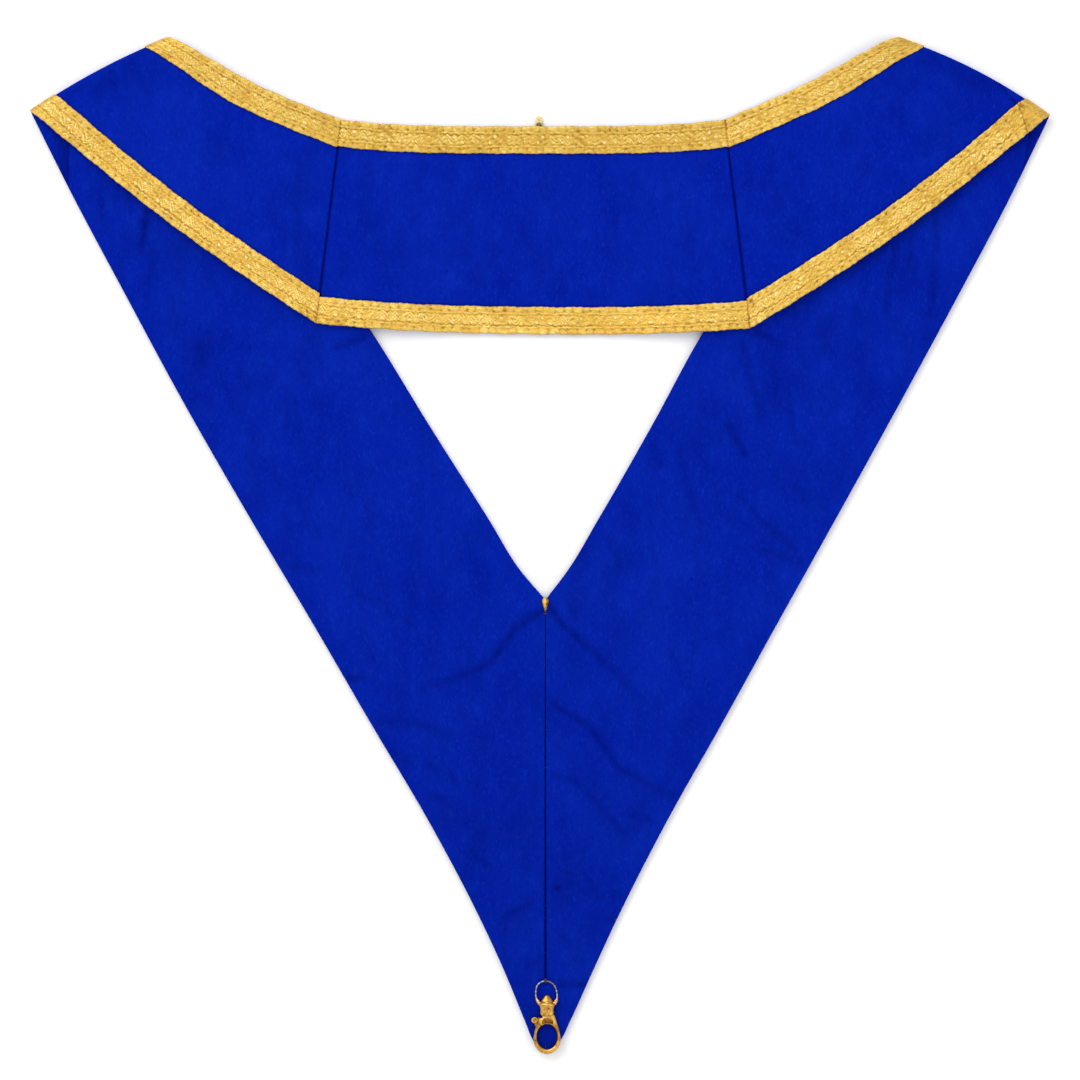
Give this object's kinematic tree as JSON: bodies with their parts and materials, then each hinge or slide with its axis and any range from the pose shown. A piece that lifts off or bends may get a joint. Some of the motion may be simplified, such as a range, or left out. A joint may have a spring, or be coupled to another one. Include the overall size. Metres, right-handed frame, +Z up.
{
  "type": "masonic collar",
  "caption": "Folded V-shaped regalia collar of blue cloth with gold lace braid on both edges and a small swivel clasp at its point.",
  "frame": {"origin": "on the table, under the middle of the collar's plan box as it lies flat", "axes": "+X to the right across the collar, +Y towards the neck edge and the shoulder folds, +Z up from the table"},
  "size_m": [0.5004, 0.4991, 0.0092],
  "materials": {
    "blue_cloth": "royal blue ribbed rayon cloth, soft, matt with a slight sheen",
    "blue_lining": "royal blue lining cloth, soft, matt, lightly creased",
    "gold_braid": "gold wire lace, bright and fine in relief",
    "gold_metal": "gilt casting, polished, worn darker in its hollows",
    "ring_metal": "gilt worn through to mottled grey on the wire, gold at its foot",
    "thread": "dark blue sewing thread"
  },
  "bodies": {
    "collar": {"neck_panel": "blue_cloth", "shoulder_face_left": "blue_cloth", "shoulder_face_right": "blue_cloth", "shoulder_lining_left": "blue_lining", "shoulder_lining_right": "blue_lining", "lappet_face_left": "blue_cloth", "lappet_face_right": "blue_cloth", "lappet_lining_left": "blue_lining", "lappet_lining_right": "blue_lining", "neck_braid_upper": "gold_braid", "neck_braid_lower": "gold_braid", "shoulder_braid_inner_left": "gold_braid", "shoulder_braid_inner_right": "gold_braid", "shoulder_braid_outer_left": "gold_braid", "shoulder_braid_outer_right": "gold_braid", "lappet_braid_inner_left": "gold_braid", "lappet_braid_inner_right": "gold_braid", "lappet_braid_outer_left": "gold_braid", "lappet_braid_outer_right": "gold_braid", "apex_braid_tab": "gold_braid", "neck_loop": "gold_braid", "swivel_ring": "ring_metal", "ring_stitch": "thread", "clasp_body": "gold_metal"},
    "gate": {"clasp_gate": "gold_metal"}
  },
  "joints": [
    {"name": "gate_lever", "type": "hinge", "parent": "collar", "child": "gate", "pos_m": [0.00115, -0.23337, 0.0058], "axis": [0, 0, 1], "range_deg": [0, 25], "stiffness_Nm_per_rad": 0.004}
  ]
}
